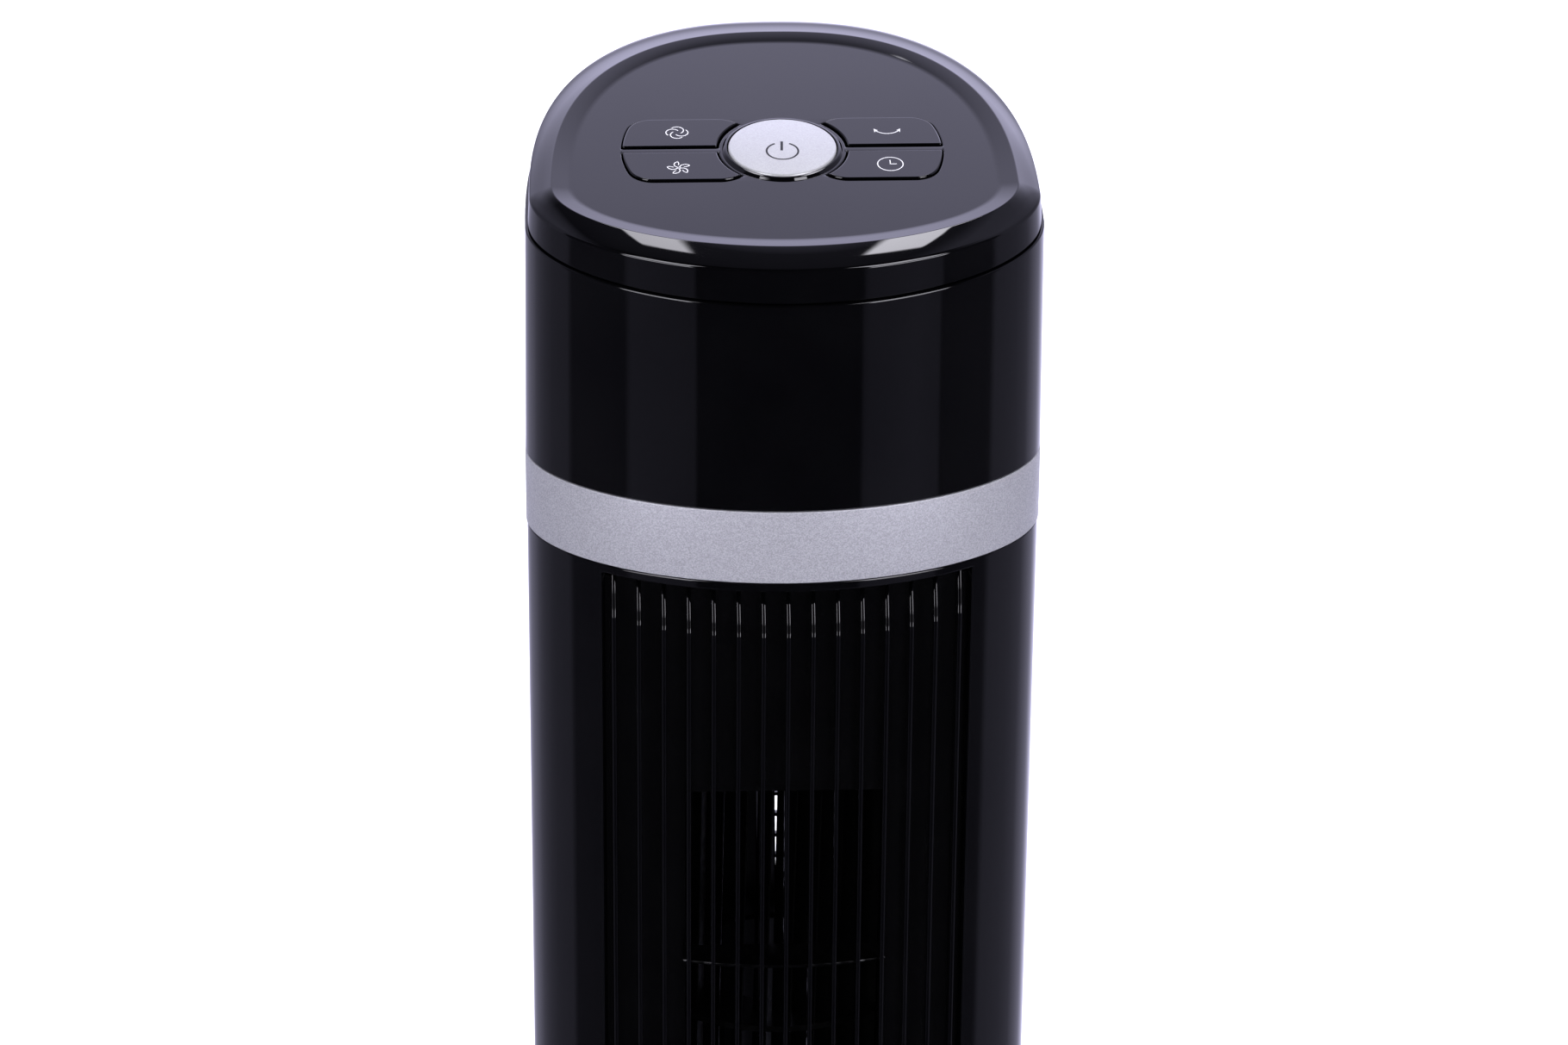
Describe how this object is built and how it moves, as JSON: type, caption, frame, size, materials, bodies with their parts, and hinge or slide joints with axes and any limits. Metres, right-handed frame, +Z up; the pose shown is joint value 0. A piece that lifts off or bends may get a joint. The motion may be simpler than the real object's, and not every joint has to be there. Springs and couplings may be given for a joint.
{
  "type": "tower fan",
  "caption": "Black tower fan: slanted control cap with push buttons, silver band, slatted front grille, cross-flow impeller, and a tower that swings on a round base.",
  "frame": {"origin": "middle of the base at floor level, on the swivel axis", "axes": "+Z up, front grille and the low edge of the control cap towards -Y, +X to the right seen from behind"},
  "size_m": [0.28, 0.28, 0.8493],
  "materials": {
    "gloss_black": "gloss",
    "satin_black": "satin",
    "silver_paint": "metallic satin",
    "steel": "plain",
    "copper": "enamelled wire",
    "rubber": "matte",
    "circuit_board": "solder mask",
    "nylon": "natural",
    "bronze": "sintered"
  },
  "bodies": {
    "base": {"base_cover": "gloss_black", "base_plate": "satin_black", "pedestal": "satin_black", "base_screw_1": "steel", "base_screw_2": "steel", "base_screw_3": "steel", "thrust_washer": "nylon", "hub_bush": "nylon", "rubber_foot_1": "rubber", "rubber_foot_2": "rubber", "rubber_foot_3": "rubber", "rubber_foot_4": "rubber", "cord_inlet": "rubber", "fixed_gear": "nylon"},
    "tower": {"turntable": "satin_black", "swivel_retainer": "steel", "swing_motor": "steel", "lower_housing": "gloss_black", "front_grille": "gloss_black", "rear_housing": "gloss_black", "housing_screw_1": "steel", "housing_screw_2": "steel", "rear_grille": "satin_black", "trim_band": "silver_paint", "head_housing": "gloss_black", "top_cap": "gloss_black", "breeze_switch": "satin_black", "speed_switch": "satin_black", "swing_switch": "satin_black", "timer_switch": "satin_black", "power_switch": "satin_black", "control_board": "circuit_board", "board_tray": "satin_black", "duct_frame": "satin_black", "duct_tongue": "satin_black", "duct_scroll": "satin_black", "motor_deck": "satin_black", "bearing_deck": "satin_black", "bearing_rubber": "rubber", "bearing_bush": "bronze", "motor_lower_bell": "steel", "stator_core": "steel", "stator_winding": "copper", "motor_upper_bell": "steel", "run_capacitor": "satin_black", "wire_harness": "rubber"},
    "pinion": {"swing_pinion": "nylon"},
    "impeller": {"impeller_section_1": "satin_black", "impeller_section_2": "satin_black", "impeller_section_3": "satin_black", "impeller_section_4": "satin_black", "impeller_section_5": "satin_black", "impeller_hub": "rubber", "impeller_top_pin": "steel", "motor_rotor": "steel"},
    "power_button": {"power_button": "silver_paint"},
    "breeze_button": {"breeze_button": "gloss_black"},
    "speed_button": {"speed_button": "gloss_black"},
    "swing_button": {"swing_button": "gloss_black"},
    "timer_button": {"timer_button": "gloss_black"}
  },
  "joints": [
    {"name": "oscillation", "type": "hinge", "parent": "base", "child": "tower", "pos_m": [0, 0, 0.0537], "axis": [0, 0, 1], "range_deg": [-40, 40]},
    {"name": "pinion_spin", "type": "hinge", "parent": "tower", "child": "pinion", "pos_m": [0, 0.036, 0.038], "axis": [0, 0, 1], "range_deg": [-122, 122]},
    {"name": "impeller_spin", "type": "hinge", "parent": "tower", "child": "impeller", "pos_m": [0, 0.004, 0.4], "axis": [0, 0, 1], "continuous": true},
    {"name": "power_press", "type": "slide", "parent": "tower", "child": "power_button", "axis": [0, 0.1547, -0.988], "range_m": [0, 0.0012], "stiffness_N_per_m": 600, "springref_m": -0.0008},
    {"name": "breeze_press", "type": "slide", "parent": "tower", "child": "breeze_button", "axis": [0, 0.1547, -0.988], "range_m": [0, 0.0012], "stiffness_N_per_m": 600, "springref_m": -0.0008},
    {"name": "speed_press", "type": "slide", "parent": "tower", "child": "speed_button", "axis": [0, 0.1547, -0.988], "range_m": [0, 0.0012], "stiffness_N_per_m": 600, "springref_m": -0.0008},
    {"name": "swing_press", "type": "slide", "parent": "tower", "child": "swing_button", "axis": [0, 0.1547, -0.988], "range_m": [0, 0.0012], "stiffness_N_per_m": 600, "springref_m": -0.0008},
    {"name": "timer_press", "type": "slide", "parent": "tower", "child": "timer_button", "axis": [0, 0.1547, -0.988], "range_m": [0, 0.0012], "stiffness_N_per_m": 600, "springref_m": -0.0008}
  ],
  "couplings": [
    {"joint": "pinion_spin", "follows": "oscillation", "ratio": 3}
  ]
}
